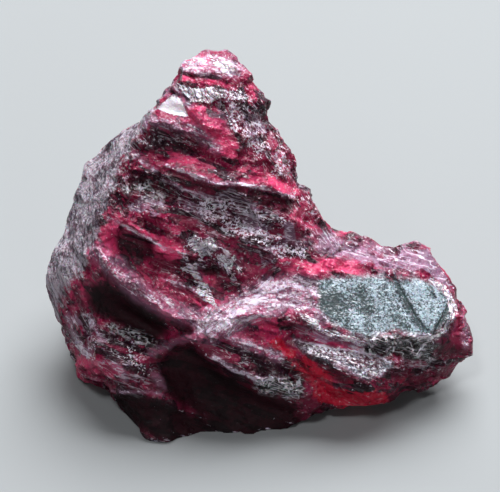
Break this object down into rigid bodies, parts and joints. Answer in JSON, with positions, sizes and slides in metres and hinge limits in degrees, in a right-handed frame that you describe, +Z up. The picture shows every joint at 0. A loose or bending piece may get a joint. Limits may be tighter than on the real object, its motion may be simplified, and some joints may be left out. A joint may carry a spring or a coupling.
{
  "type": "rough garnet",
  "caption": "Rough deep red garnet with a tall peak, a long side arm and stepped glassy breaks, standing on a flat break.",
  "frame": {"origin": "bottom centre of the stone's bounding box, on the flat break that it rests on", "axes": "+X along the stone's length towards the tip of the arm, -Y towards the stepped showing side, +Z up"},
  "size_m": [0.032, 0.0228, 0.0207],
  "materials": {
    "garnet": "deep crimson and part clear, glossy on fresh breaks, frosted mauve grey on old skin"
  },
  "bodies": {
    "root": {"rough_garnet": "garnet"}
  },
  "joints": []
}
